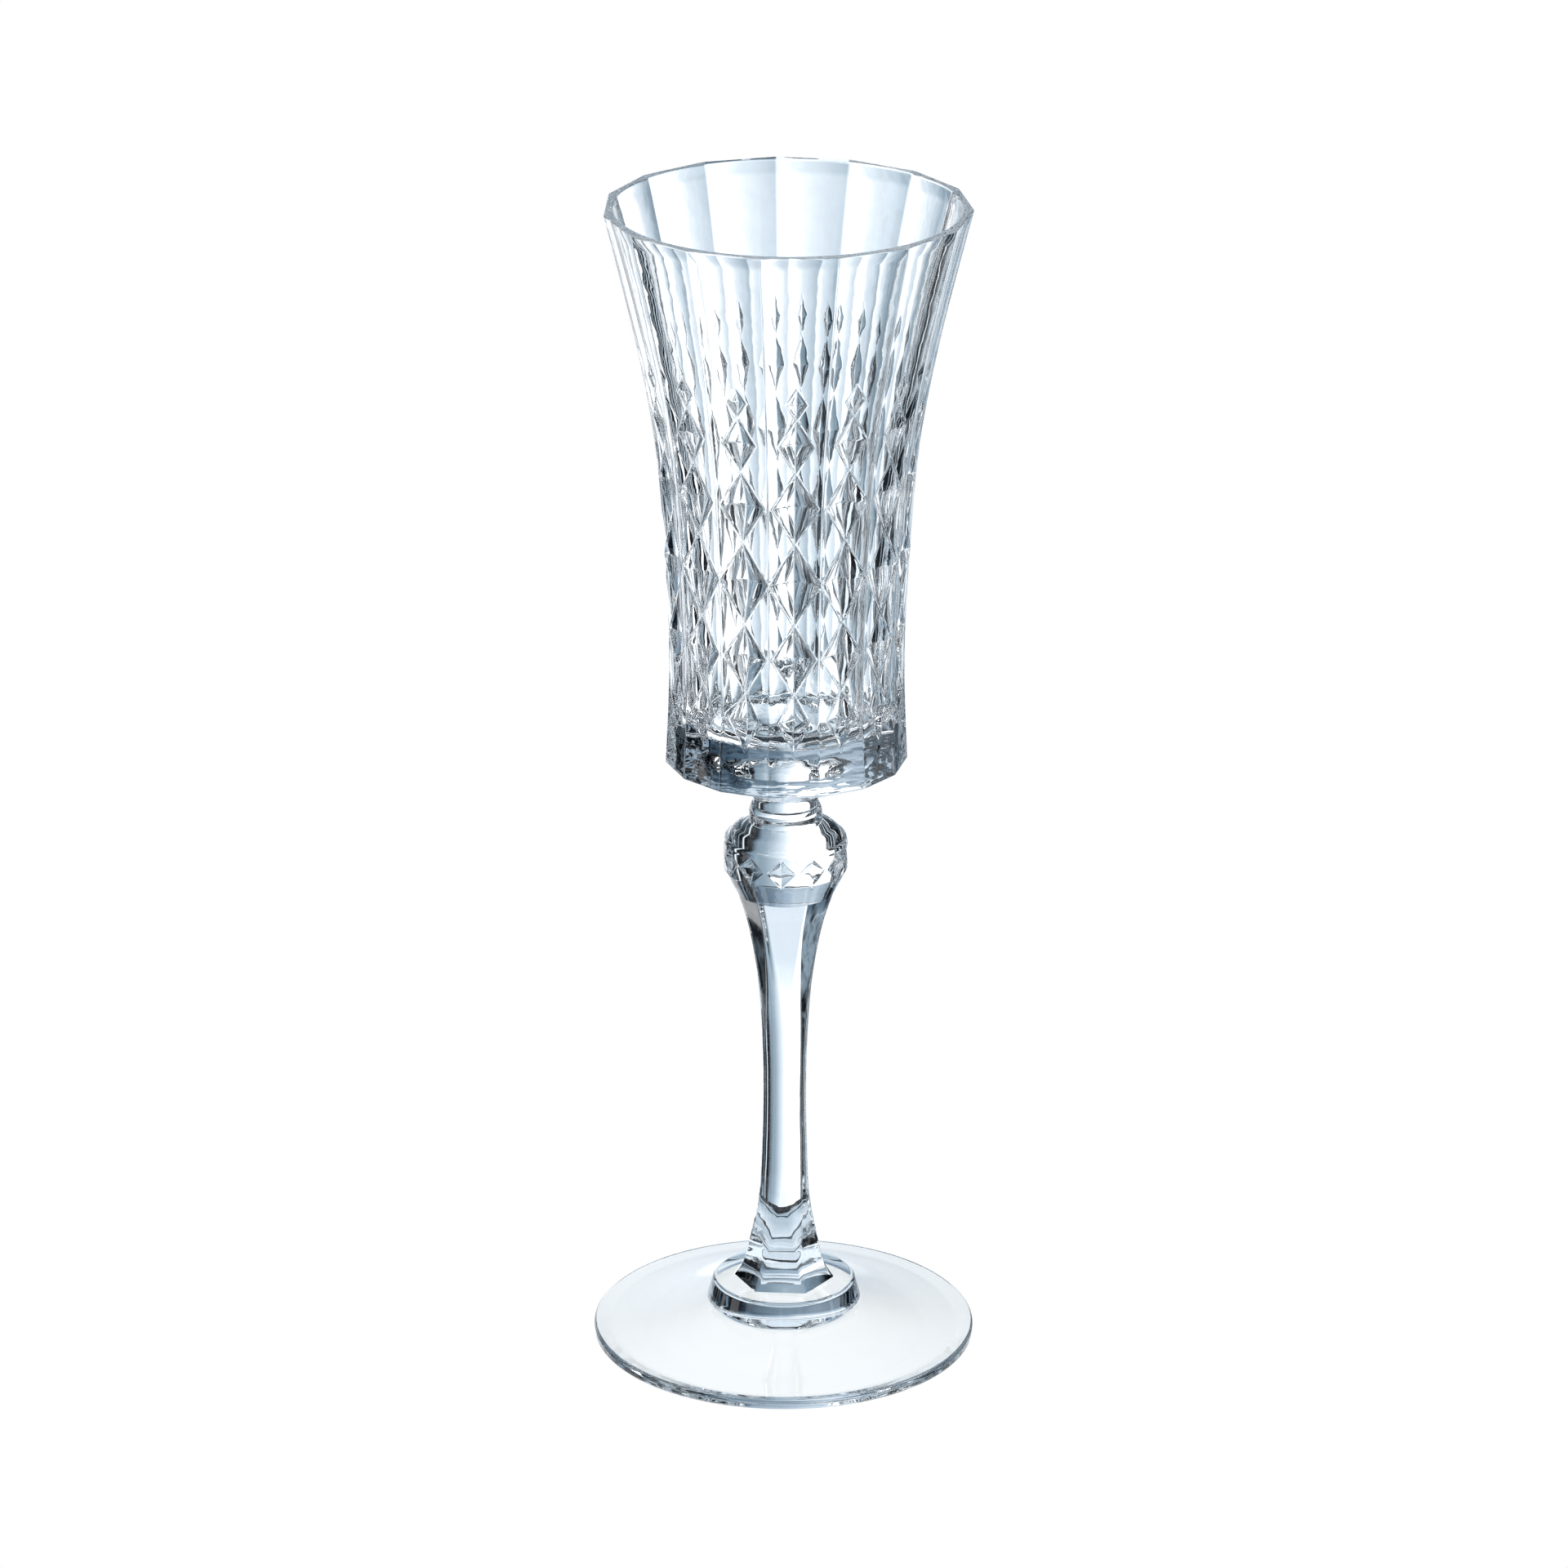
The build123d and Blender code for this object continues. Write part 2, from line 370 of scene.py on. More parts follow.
def panel_depth(u, z):
    """How far the glass is cut back from a panel's plane: its diamonds and its rounded side edges."""
    depth = np.zeros_like(u)
    for upper, lower, width in DIAMONDS:
        depth = depth + pit(u, z, upper, lower, width / 2, DIAMOND_DEPTH_RATIO * width)
    half = bowl_radius(z) * math.sin(PANEL_ANGLE / 2)
    to_edge = half - np.abs(u)
    bend = math.tan(PANEL_ANGLE / 2) / EDGE_REACH / 2
    return depth + np.where(to_edge < EDGE_REACH, (EDGE_REACH - to_edge) ** 2 * bend, 0)


def panel_point(u, z, inset=0.0):
    """A point of the panel that faces +X."""
    apothem = bowl_radius(z) * math.cos(PANEL_ANGLE / 2)
    scale = 1 - (panel_depth(u, z) + inset) / apothem
    return np.stack([apothem * scale, u * scale, z], -1)


def lip_places(reach, low, high, least):
    """Rising places across a lip at reach, kept between low and high and at least a step apart."""
    marks = [reach + share * BEAD_REACH for share in (-1, -0.66, -0.33, 0, 0.33, 0.66, 1)]
    last = len(marks) - 1
    for i in range(last + 1):
        floor = low if i == 0 else marks[i - 1] + least
        marks[i] = max(marks[i], floor)
    for i in range(last, -1, -1):
        ceiling = high if i == last else marks[i + 1] - least
        marks[i] = min(marks[i], ceiling)
    return marks


def columns_to(room, reach, least):
    """Places across half a diamond's row, from its middle to room: its valley, its facet as far as
    reach, where the lip is, and the plain glass beyond. They are at least a step apart at the lip."""
    soft = VALLEY_SOFTNESS
    lip_marks = lip_places(reach, soft + 4 * least, room - 2 * least, least)
    marks = [0.0, soft / 2, soft]
    marks += [soft + (lip_marks[0] - soft) * share for share in (0.25, 0.5, 0.75)]
    marks += lip_marks
    return marks + [(marks[-1] + room) / 2, room]


def both_sides(half):
    """Places across a whole panel or sector from those across its half, but for the last, which is
    the next one's first."""
    return np.concatenate([-half[::-1], half[1:]])[:-1]


def panel_columns(z):
    """Places across half a panel at a height, from its middle to its edge."""
    half = float(bowl_radius(z) * math.sin(PANEL_ANGLE / 2))
    room = half - EDGE_REACH
    reach = 0.0
    for upper, lower, full in DIAMONDS:
        if lower <= z <= upper:
            reach = full / 2 * (1 - abs(z - (upper + lower) / 2) / ((upper - lower) / 2))
    return np.array(columns_to(room, reach, LEAST_PANEL_STEP) + [half - EDGE_REACH / 2, half])


def bowl_rows():
    """Heights of the rows up the outside of the bowl, crowded at each diamond's tips and middle."""
    soft = VALLEY_SOFTNESS
    rows = set()
    for upper, lower, _ in DIAMONDS:
        middle, half = (upper + lower) / 2, (upper - lower) / 2
        for share in (0, 0.04, 0.1, 0.2, 0.35, 0.5, 0.65, 0.8, 0.9):
            rows.add(round(upper - share * half, 4))
            rows.add(round(lower + share * half, 4))
        for shift in (-soft, -soft / 2, 0, soft / 2, soft):
            rows.add(round(middle + shift, 4))
    top = HEIGHT - RIM_ROUNDING
    above, below = DIAMOND_TIPS[0] + GAP_ABOVE_DIAMONDS, DIAMOND_TIPS[-1] - GAP_BELOW_DIAMONDS
    rows |= {round(v, 4) for v in np.linspace(above, top, ROWS_ABOVE_DIAMONDS)}
    rows |= {round(v, 4) for v in np.linspace(BOWL_BOTTOM + BOTTOM_ROUNDING, below, ROWS_BELOW_DIAMONDS)}
    return sorted(rows)


def panel_ring(z, inset=0.0, tilt=None):
    """A whole ring of the outside of the bowl at a height. tilt is (angle, up): how far the
    normals are turned towards straight up, where up is 1, or down, where it is -1."""
    u = both_sides(panel_columns(z))
    height = np.full_like(u, z)
    points = panel_point(u, height, inset)
    normals = grid_normals(panel_point, u, height)
    if tilt is not None:
        angle, up = tilt
        normals = normals * math.cos(angle)
        normals[:, 2] += up * math.sin(angle)
        normals /= np.linalg.norm(normals, axis=1, keepdims=True)
    all_points, all_normals = [], []
    for panel in range(PANELS):
        angle = -math.pi / 2 + panel * PANEL_ANGLE
        c, s = math.cos(angle), math.sin(angle)
        spin = np.array([[c, -s, 0], [s, c, 0], [0, 0, 1]])
        all_points.append(points @ spin.T)
        all_normals.append(normals @ spin.T)
    return np.concatenate(all_points), np.concatenate(all_normals)


def make_bowl(materials):
    """The cup, in rings from the middle of its bottom up the outside, over the rim and down to its
    floor. The neck is fused to the middle of the bottom."""
    columns = PANELS * len(both_sides(panel_columns(HEIGHT)))
    rings = Rings(columns)
    start = -math.pi / 2 - PANEL_ANGLE / 2
    c, s = circle(columns, start)

    def round_ring(radius, height, out, up, slot=SMOOTH):
        """A round ring whose normals point out and up by these shares."""
        points = np.stack([radius * c, radius * s, np.full(columns, height)], 1)
        normals = np.stack([out * c, out * s, np.full(columns, up)], 1)
        rings.ring(points, normals, slot)

    round_ring(NECK_TOP_RADIUS, BOWL_BOTTOM, 0, -1)
    rings.cap(BOWL_BOTTOM, -1)
    round_ring(NECK_TOP_RADIUS * BOTTOM_RING_SHARE, BOWL_BOTTOM, 0, -1, WAVY)
    quarter = quarter_turn(ROUNDING_STEPS)
    for angle in reversed(quarter):
        inset = BOTTOM_ROUNDING * (1 - math.cos(angle))
        height = BOWL_BOTTOM + BOTTOM_ROUNDING * (1 - math.sin(angle))
        points, normals = panel_ring(height, inset, (angle, -1))
        rings.ring(points, normals, WAVY if angle == quarter[-1] else SMOOTH)
    for height in bowl_rows()[1:]:
        rings.ring(*panel_ring(height), WAVY if height < BASE_TOP else SMOOTH)
    for angle in quarter[1:]:
        inset = RIM_ROUNDING * (1 - math.cos(angle))
        height = HEIGHT - RIM_ROUNDING * (1 - math.sin(angle))
        points, normals = panel_ring(height, inset, (angle, 1))
        rings.ring(points, normals)
    rim = float(inner_radius(HEIGHT))
    for angle in reversed(quarter):
        radius = rim + RIM_ROUNDING * (1 - math.cos(angle))
        round_ring(radius, HEIGHT - RIM_ROUNDING * (1 - math.sin(angle)), -math.cos(angle), math.sin(angle))
    low_radius, low = BOWL_INSIDE[0]
    step = INNER_SLOPE_STEP
    for height in np.linspace(HEIGHT - RIM_ROUNDING, low, INNER_WALL_ROWS)[1:]:
        slope = float(inner_radius(height + step) - inner_radius(height - step)) / (2 * step)
        size = math.hypot(1, slope)
        round_ring(float(inner_radius(height)), height, -1 / size, slope / size)
    for angle in quarter_turn(FLOOR_CORNER_STEPS):
        radius = low_radius - FLOOR_CORNER * (1 - math.cos(angle))
        height = BOWL_FLOOR + FLOOR_CORNER * (1 - math.sin(angle))
        round_ring(radius, height, -math.cos(angle), math.sin(angle), WAVY)
    round_ring(low_radius * FLOOR_RING_SHARE, BOWL_FLOOR, 0, 1, WAVY)
    rings.cap(BOWL_FLOOR, 1, WAVY)
    return rings.object("flute_bowl", materials)


# ---- knop ----

KNOP_BAND_BOTTOM = 96.0
KNOP_BAND_TOP = 101.5
KNOP_MIDDLE = (KNOP_BAND_BOTTOM + KNOP_BAND_TOP) / 2
KNOP_DIAMONDS = 12
KNOP_HALF_HEIGHT = 2.75
KNOP_HALF_WIDTH = 2.92
KNOP_DEPTH = 1.05
KNOP_TOP_RADIUS = 7.0
STEM_TOP_RADIUS = 9.3
STEM_TURN = math.radians(-7.8)
# (radius, height, rounding) of the corners, upwards
KNOP_OUTLINE = [(STEM_TOP_RADIUS, KNOP_BOTTOM, 0), (10.75, 94.2, 10), (KNOP_RADIUS, KNOP_BAND_BOTTOM, 0.4),
                (KNOP_RADIUS, KNOP_BAND_TOP, 0.4), (11.5, 102.3, 1.2), (9.35, 104.3, 4.0),
                (KNOP_TOP_RADIUS, KNOP_TOP, 0)]
KNOP_OUTLINE_STEPS = 5
# The mesh's rows below the middle of the diamonds, mirrored above it
KNOP_ROWS = [-2.3, -2.0, -1.7, -1.35, -1.0, -0.65, -VALLEY_SOFTNESS, -VALLEY_SOFTNESS / 2]
KNOP_BAND_MARGIN = 0.25
LEAST_KNOP_STEP = 0.03
# The ring in the flat face that the stem is fused to, by the stem's radius
KNOP_RING_SHARE = 0.7


def knop_depth(u, z):
    """How far a diamond is sunk into the knop's band at a place: u round it and z up."""
    upper, lower = KNOP_MIDDLE + KNOP_HALF_HEIGHT, KNOP_MIDDLE - KNOP_HALF_HEIGHT
    return pit(u, z, upper, lower, KNOP_HALF_WIDTH, KNOP_DEPTH)


def knop_columns(z):
    """Places across half of one of the knop's sectors, crowded where a diamond's edge crosses."""
    half = KNOP_RADIUS * math.pi / KNOP_DIAMONDS
    reach = KNOP_HALF_WIDTH * max(0.0, 1 - abs(z - KNOP_MIDDLE) / KNOP_HALF_HEIGHT)
    return np.array(columns_to(half, reach, LEAST_KNOP_STEP))


def make_knop(materials):
    """The fat ring: its shoulder and taper are turned, and its band carries sunken diamonds."""
    outline = rounded_outline(KNOP_OUTLINE, KNOP_OUTLINE_STEPS)
    sector = 2 * math.pi / KNOP_DIAMONDS
    columns = KNOP_DIAMONDS * len(both_sides(knop_columns(KNOP_TOP)))
    rings = Rings(columns)

    def put(radius, height, normal_out, normal_up):
        """A ring of the knop, sunken where a diamond crosses it."""
        u = both_sides(knop_columns(height))
        angle = np.concatenate([-math.pi / 2 + STEM_TURN + k * sector + u / KNOP_RADIUS
                                for k in range(KNOP_DIAMONDS)])
        across = np.tile(u, KNOP_DIAMONDS)
        z = np.full(columns, height)
        step = SLOPE_STEP
        r = radius - knop_depth(across, z)
        side = (knop_depth(across + step, z) - knop_depth(across - step, z)) / (2 * step)
        rise = (knop_depth(across, z + step) - knop_depth(across, z - step)) / (2 * step)
        out, up = np.full(columns, normal_out), normal_up + rise * abs(normal_out)
        c, s = np.cos(angle), np.sin(angle)
        normal = np.stack([out * c - side * s, out * s + side * c, up], 1)
        normal /= np.linalg.norm(normal, axis=1, keepdims=True)
        rings.ring(np.stack([r * c, r * s, z], 1), normal)

    put(STEM_TOP_RADIUS * KNOP_RING_SHARE, KNOP_BOTTOM, 0, -1)
    rings.cap(KNOP_BOTTOM, -1)
    low = [(p, n) for p, n in outline if p[1] < KNOP_BAND_BOTTOM + KNOP_BAND_MARGIN]
    high = [(p, n) for p, n in outline if p[1] > KNOP_BAND_TOP - KNOP_BAND_MARGIN]
    for spot, normal in low:
        put(spot[0], spot[1], normal[0], normal[1])
    for shift in KNOP_ROWS + [0.0] + [-row for row in reversed(KNOP_ROWS)]:
        put(KNOP_RADIUS, KNOP_MIDDLE + shift, 1, 0)
    for spot, normal in high:
        put(spot[0], spot[1], normal[0], normal[1])
    rings.cap(KNOP_TOP, 1)
    return rings.object("flute_knop", materials)


# ---- stem ----

STEM_SIDES = 6
STEM_ROWS = 90
# (corner radius, height, roundness): roundness 0 is a sharp hexagon and 1 a circle
STEM_SECTIONS = [(9.6, STEM_BOTTOM, 0.12), (8.2, 13.2, 0.15), (7.3, 15.6, 0.2), (6.35, 20.0, 0.35),
                 (5.1, 26.5, 0.7), (4.45, 36.0, 0.9), (4.15, 50.0, 0.93), (4.4, 62.0, 0.85),
                 (5.05, 72.0, 0.5), (6.2, 80.0, 0.18), (7.6, 86.2, 0.08),
                 (STEM_TOP_RADIUS, KNOP_BOTTOM, 0.06)]
LEAST_ROUNDNESS, MOST_ROUNDNESS = 0.05, 0.95
stem_radius = smooth_curve([(r, z) for r, z, _ in STEM_SECTIONS])
stem_roundness = smooth_curve([(q, z) for _, z, q in STEM_SECTIONS])


def stem_section(height, arc_steps=8, flat_steps=4):
    """Points and the directions of their normals, round a hexagon with rounded corners."""
    half = math.pi / STEM_SIDES
    roundness = float(np.clip(stem_roundness(height), LEAST_ROUNDNESS, MOST_ROUNDNESS))
    apothem = float(stem_radius(height)) / ((1 - roundness) / math.cos(half) + roundness)
    corner = roundness * apothem
    flat_half = (apothem - corner) * math.tan(half)
    points, facing = [], []
    for side in range(STEM_SIDES):
        way = -math.pi / 2 + STEM_TURN + side * 2 * half
        out = np.array([math.cos(way), math.sin(way)])
        along = np.array([-out[1], out[0]])
        for k in range(flat_steps):
            points.append(out * apothem + along * flat_half * (-1 + 2 * k / flat_steps))
            facing.append(way)
        centre = out * (apothem - corner) + along * flat_half
        for k in range(arc_steps):
            turn = way + 2 * half * k / arc_steps
            points.append(centre + corner * np.array([math.cos(turn), math.sin(turn)]))
            facing.append(turn)
    return np.array(points), np.array(facing)


def make_stem(materials):
    """The long waisted stem: a hexagon at its ends and nearly round in the middle."""
    rows = np.linspace(STEM_BOTTOM, KNOP_BOTTOM, STEM_ROWS)
    sections = [stem_section(z) for z in rows]
    columns = len(sections[0][0])
    rings = Rings(columns)
    for i, (points, facing) in enumerate(sections):
        a, b = max(i - 1, 0), min(i + 1, len(rows) - 1)
        flow = (sections[b][0] - sections[a][0]) / (rows[b] - rows[a])
        c, s = np.cos(facing), np.sin(facing)
        slope = flow[:, 0] * c + flow[:, 1] * s
        normals = np.stack([c, s, -slope], 1)
        normals /= np.linalg.norm(normals, axis=1, keepdims=True)
        rings.ring(np.column_stack([points, np.full(columns, rows[i])]), normals)
        if i == 0:
            rings.cap(STEM_BOTTOM, -1)
    rings.cap(KNOP_BOTTOM, 1)
    return rings.object("flute_stem", materials)


# ---- round pieces ----

OUTWARDS = np.array([1.0, 0])
UPWARDS = np.array([0, 1.0])
ROUND_COLUMNS = 192
NECK_RADIUS = 6.15
NECK_TOP_RADIUS = 9.2
NECK_FLARE_START = 114.6
NECK_FLARE_DROP = 0.6
NECK_FLARE_ROUNDING = 2.4
COLLAR_RADIUS = 6.9
COLLAR_TOP_RADIUS = 6.3
COLLAR_SHOULDER = 107.6
COLLAR_ROUNDING = 2.0


def set_normal(outline, index, normal):
    """Gives a point of an outline its visible side's normal, where a fused seat meets that side."""
    outline[index] = (outline[index][0], normal)


def make_neck(materials):
    """A short round neck that spreads where it meets the bowl."""
    outline = rounded_outline([(0, COLLAR_TOP, 0), (NECK_RADIUS, COLLAR_TOP, 0),
                               (NECK_RADIUS, NECK_FLARE_START, 0),
                               (NECK_RADIUS, BOWL_BOTTOM - NECK_FLARE_DROP, NECK_FLARE_ROUNDING),
                               (NECK_TOP_RADIUS, BOWL_BOTTOM, 0), (0, BOWL_BOTTOM, 0)], steps=8)
    set_normal(outline, 1, OUTWARDS)
    set_normal(outline, -2, outline[-3][1])
    return lathe("flute_neck", outline, materials, ROUND_COLUMNS, (1, len(outline) - 1))


def make_collar(materials):
    """The thin ring between the knop and the neck."""
    outline = rounded_outline([(0, KNOP_TOP, 0), (COLLAR_RADIUS, KNOP_TOP, 0),
                               (COLLAR_RADIUS, COLLAR_SHOULDER, COLLAR_ROUNDING),
                               (COLLAR_TOP_RADIUS, COLLAR_TOP, 0), (NECK_RADIUS, COLLAR_TOP, 0),
                               (0, COLLAR_TOP, 0)])
    set_normal(outline, 1, OUTWARDS)
    set_normal(outline, -2, UPWARDS)
    return lathe("flute_collar", outline, materials, ROUND_COLUMNS, (1, len(outline) - 1))


BUTTON_TOP_RADIUS = 13.6
BUTTON_ROUNDING = 1.0
# Steps along each flat of the stem's end, more than the stem itself has, so that the button is round
BUTTON_FLAT_STEPS = 24


def make_button(materials):
    """A round step; its top carries the stem's six-sided end."""
    outline = rounded_outline([(0, FOOT_TOP, 0), (BUTTON_RADIUS, FOOT_TOP, 0),
                               (BUTTON_TOP_RADIUS, STEM_BOTTOM, BUTTON_ROUNDING), (0, STEM_BOTTOM, 0)])
    set_normal(outline, 1, outline[2][1])
    stem_end = stem_section(STEM_BOTTOM, flat_steps=BUTTON_FLAT_STEPS)[0]
    turn = math.atan2(stem_end[0][1], stem_end[0][0])
    seats = (1, len(outline) - 1)
    return lathe("flute_base_button", outline, materials, len(stem_end), seats, turn, stem_end)


# The foot's dished top and underside: heights, radii, and (radius, height) of the shoulders
FOOT_EDGE = 2.0
FOOT_SHOULDER = (25.0, 3.8)
FOOT_HOLLOW = 4.4
HOLLOW_RADIUS = 13.5
HOLLOW_SHOULDER = (24.5, 1.3)
REST_RING_INNER = 33.0
DISH_ROUNDING = 60
HOLLOW_ROUNDING = 12
REST_ROUNDING = 8
LOWER_EDGE_ROUNDING = 0.5
UPPER_EDGE_ROUNDING = 0.7
FOOT_COLUMNS = 256


def make_foot(materials):
    """A thin dished disc: its underside follows its top, so it stands on an outer ring."""
    outline = rounded_outline([(0, FOOT_HOLLOW, 0), (HOLLOW_RADIUS, FOOT_HOLLOW, HOLLOW_ROUNDING),
                               (*HOLLOW_SHOULDER, DISH_ROUNDING), (REST_RING_INNER, 0, REST_ROUNDING),
                               (FOOT_RADIUS, 0, LOWER_EDGE_ROUNDING),
                               (FOOT_RADIUS, FOOT_EDGE, UPPER_EDGE_ROUNDING),
                               (*FOOT_SHOULDER, DISH_ROUNDING), (BUTTON_RADIUS, FOOT_TOP, 0),
                               (0, FOOT_TOP, 0)])
    set_normal(outline, -2, outline[-3][1])
    return lathe("flute_foot", outline, materials, FOOT_COLUMNS, (len(outline) - 1,))


# Each kind of glass: its ripples a metre and their height in metres
CLEAR_RIPPLES = (320.0, 0.00004)
PRESSED_RIPPLES = (240.0, 0.00006)
WAVY_RIPPLES = (230.0, 0.00028)
FOOT_RIPPLES = (90.0, 0.00003)


def build_flute():
    """Makes the seven pieces, each in its own glass."""
    seat = joint_material()
    turned = [glass_material("clear_crystal", *CLEAR_RIPPLES), seat]
    pressed = [glass_material("pressed_crystal", *PRESSED_RIPPLES), seat,
               glass_material("wavy_crystal", *WAVY_RIPPLES)]
    flat = [glass_material("foot_crystal", *FOOT_RIPPLES), seat]
    glass_of = {"bowl": pressed, "foot": flat, "base_button": flat}
    makers = {"bowl": make_bowl, "neck": make_neck, "collar": make_collar, "knop": make_knop,
              "stem": make_stem, "base_button": make_button, "foot": make_foot}
    for name, make in makers.items():
        finish_piece(make(glass_of.get(name, turned)), name)


build_flute()


# ---- studio ----

def ramp(tree, factor, stops):
    """The colour of a ramp with (position, colour) stops."""
    node = add(tree, "ShaderNodeValToRGB", Fac=factor)
    line = node.color_ramp
    while len(line.elements) > 1:
        line.elements.remove(line.elements[-1])
    line.elements[0].position, line.elements[0].color = stops[0][0], (*stops[0][1], 1)
    for place, colour in stops[1:]:
        line.elements.new(place).color = (*colour, 1)
    return node.outputs["Color"]


def math_node(tree, operation, a, b):
    """A maths node's result."""
    node = tree.nodes.new("ShaderNodeMath")
    node.operation = operation
    for socket, value in zip(node.inputs, (a, b)):
        feed(tree, socket, value)
    return node.outputs[0]


def mix_colours(tree, blend, a, b):
    """Two colours put together in a blend mode."""
    node = tree.nodes.new("ShaderNodeMix")
    node.data_type, node.blend_type, node.clamp_result = "RGBA", blend, False
    colours = [s for s in node.inputs if s.type == "RGBA"]
    for socket, value in zip([node.inputs["Factor"], *colours], (1.0, a, b)):
        feed(tree, socket, value)
    return next(s for s in node.outputs if s.type == "RGBA")


def mix_shaders(tree, share, first, second):
    """The first shader where share is 0, and the second where it is 1."""
    node = add(tree, "ShaderNodeMixShader", Fac=share)
    tree.links.new(first.outputs[0], node.inputs[1])
    tree.links.new(second.outputs[0], node.inputs[2])
    return node.outputs[0]


WHITE = (1.4, 1.43, 1.47)
PALE = (0.95, 1.05, 1.15)
HAZE = (0.70, 0.81, 0.91)
MIST = (0.48, 0.59, 0.69)
SMOKE = (0.33, 0.43, 0.52)
BLUE_GREY = (0.25, 0.35, 0.44)
DUSK = (0.12, 0.17, 0.22)
DARK = (0.010, 0.012, 0.015)
TABLE = (0.035, 0.045, 0.055)
OVERHEAD = (0.75, 0.85, 0.95)
NONE = (0, 0, 0)

# Upright lights round the glass, by azimuth in degrees: 0 is behind it and + is to its right.
# The bright field behind is white, and fades to blue-grey on its right.
FIELD = [(-34, DARK), (-32.5, WHITE), (1, WHITE), (6, PALE), (12, HAZE), (17, MIST), (22, SMOKE),
         (30, BLUE_GREY), (33, DUSK), (36, DARK)]
# (centre, width, colour)
LEFT_STRIPS = [(-172, 5, PALE), (-122, 8, PALE), (-97, 15, WHITE), (-72, 7, WHITE), (-60, 2, MIST),
               (-54, 3, HAZE), (-46.5, 1.4, PALE), (-41, 1, SMOKE)]
RIGHT_STRIPS = [(46, 2, PALE), (57, 2, BLUE_GREY), (82, 11, PALE), (106, 6, WHITE), (160, 8, MIST)]
STRIP_EDGE = 0.4

# By height, where 0 is straight down, 0.5 level and 1 straight up: how many degrees the field leans
FIELD_LEAN = [(0.18, 4.0), (0.24, 2.0), (0.30, 0), (0.34, 0), (0.38, 4.5), (1.0, 4.5)]
# By height: what all the upright lights are multiplied by, and the lights below and overhead
FADE_UPWARDS = [(0.0, (1, 1, 1)), (0.50, (1, 1, 1)), (0.53, (0.5, 0.57, 0.64)), (0.63, (0.36, 0.43, 0.49)),
                (0.70, (0.2, 0.26, 0.32)), (0.76, (0.02, 0.02, 0.02)), (1.0, (0.02, 0.02, 0.02))]
TABLE_BELOW = [(0.0, TABLE), (0.13, TABLE), (0.17, NONE)]
LAMP_OVERHEAD = [(0.955, NONE), (0.965, OVERHEAD), (1.0, OVERHEAD)]

# Round soft lights: (azimuth, elevation) in degrees, and colours by the angle from the centre
LOW_SIDE_LIGHT = (135, -15), [(24, NONE), (22, BLUE_GREY), (14, PALE), (0, WHITE)]
HIGH_BACK_LIGHT = (0, 43), [(30, NONE), (24, DUSK), (13, BLUE_GREY), (0, MIST)]


def whole_turn(degrees):
    """An azimuth's share of the way round, from 0 to 1."""
    return degrees / 360 + 0.5


def strip_stops(strips):
    """Ramp stops of thin upright lights on a dark surround."""
    stops = []
    for centre, width, colour in strips:
        inner, outer = width / 2, width / 2 + STRIP_EDGE
        for place, tone in ((-outer, DARK), (-inner, colour), (inner, colour), (outer, DARK)):
            stops.append((whole_turn(centre + place), tone))
    return sorted(stops)


def soft_light(tree, direction, light):
    """A round soft light about its direction."""
    (azimuth, elevation), tones = light
    a, e = math.radians(azimuth), math.radians(elevation)
    node = add(tree, "ShaderNodeVectorMath")
    node.operation = "DOT_PRODUCT"
    tree.links.new(direction, node.inputs[0])
    node.inputs[1].default_value = (math.sin(a) * math.cos(e), math.cos(a) * math.cos(e), math.sin(e))
    stops = [(0.0, NONE)] + [(math.cos(math.radians(angle)), colour) for angle, colour in tones]
    return ramp(tree, node.outputs["Value"], stops)


def turn_share(tree, azimuth):
    """The share of the way round, from 0 to 1, of an azimuth in radians."""
    return math_node(tree, "ADD", math_node(tree, "DIVIDE", azimuth, 2 * math.pi), 0.5)


def leaning_azimuth(tree, azimuth, height):
    """The azimuth at which the field is looked up: it leans to the left low down and high up.
    A ramp holds shares, so the lean is a share of ten degrees."""
    most = 10
    stops = [(place, (degrees / most,) * 3) for place, degrees in FIELD_LEAN]
    lean = ramp(tree, height, stops)
    return math_node(tree, "ADD", azimuth, math_node(tree, "MULTIPLY", lean, math.radians(most)))


def studio_colours(tree, direction):
    """The colour of the studio in a direction: soft upright lights on a dark surround."""
    x, y, z = add(tree, "ShaderNodeSeparateXYZ", Vector=direction).outputs
    azimuth = math_node(tree, "ARCTAN2", x, y)
    share = turn_share(tree, azimuth)
    height = math_node(tree, "ADD", math_node(tree, "MULTIPLY", z, 0.5), 0.5)
    field_share = turn_share(tree, leaning_azimuth(tree, azimuth, height))
    field_stops = [(whole_turn(degrees), colour) for degrees, colour in FIELD]
    colour = ramp(tree, field_share, field_stops)
    for strips in (LEFT_STRIPS, RIGHT_STRIPS):
        colour = mix_colours(tree, "LIGHTEN", colour, ramp(tree, share, strip_stops(strips)))
    colour = mix_colours(tree, "MULTIPLY", colour, ramp(tree, height, FADE_UPWARDS))
    others = [ramp(tree, height, TABLE_BELOW), ramp(tree, height, LAMP_OVERHEAD),
              soft_light(tree, direction, LOW_SIDE_LIGHT), soft_light(tree, direction, HIGH_BACK_LIGHT)]
    for light in others:
        colour = mix_colours(tree, "LIGHTEN", colour, light)
    return colour


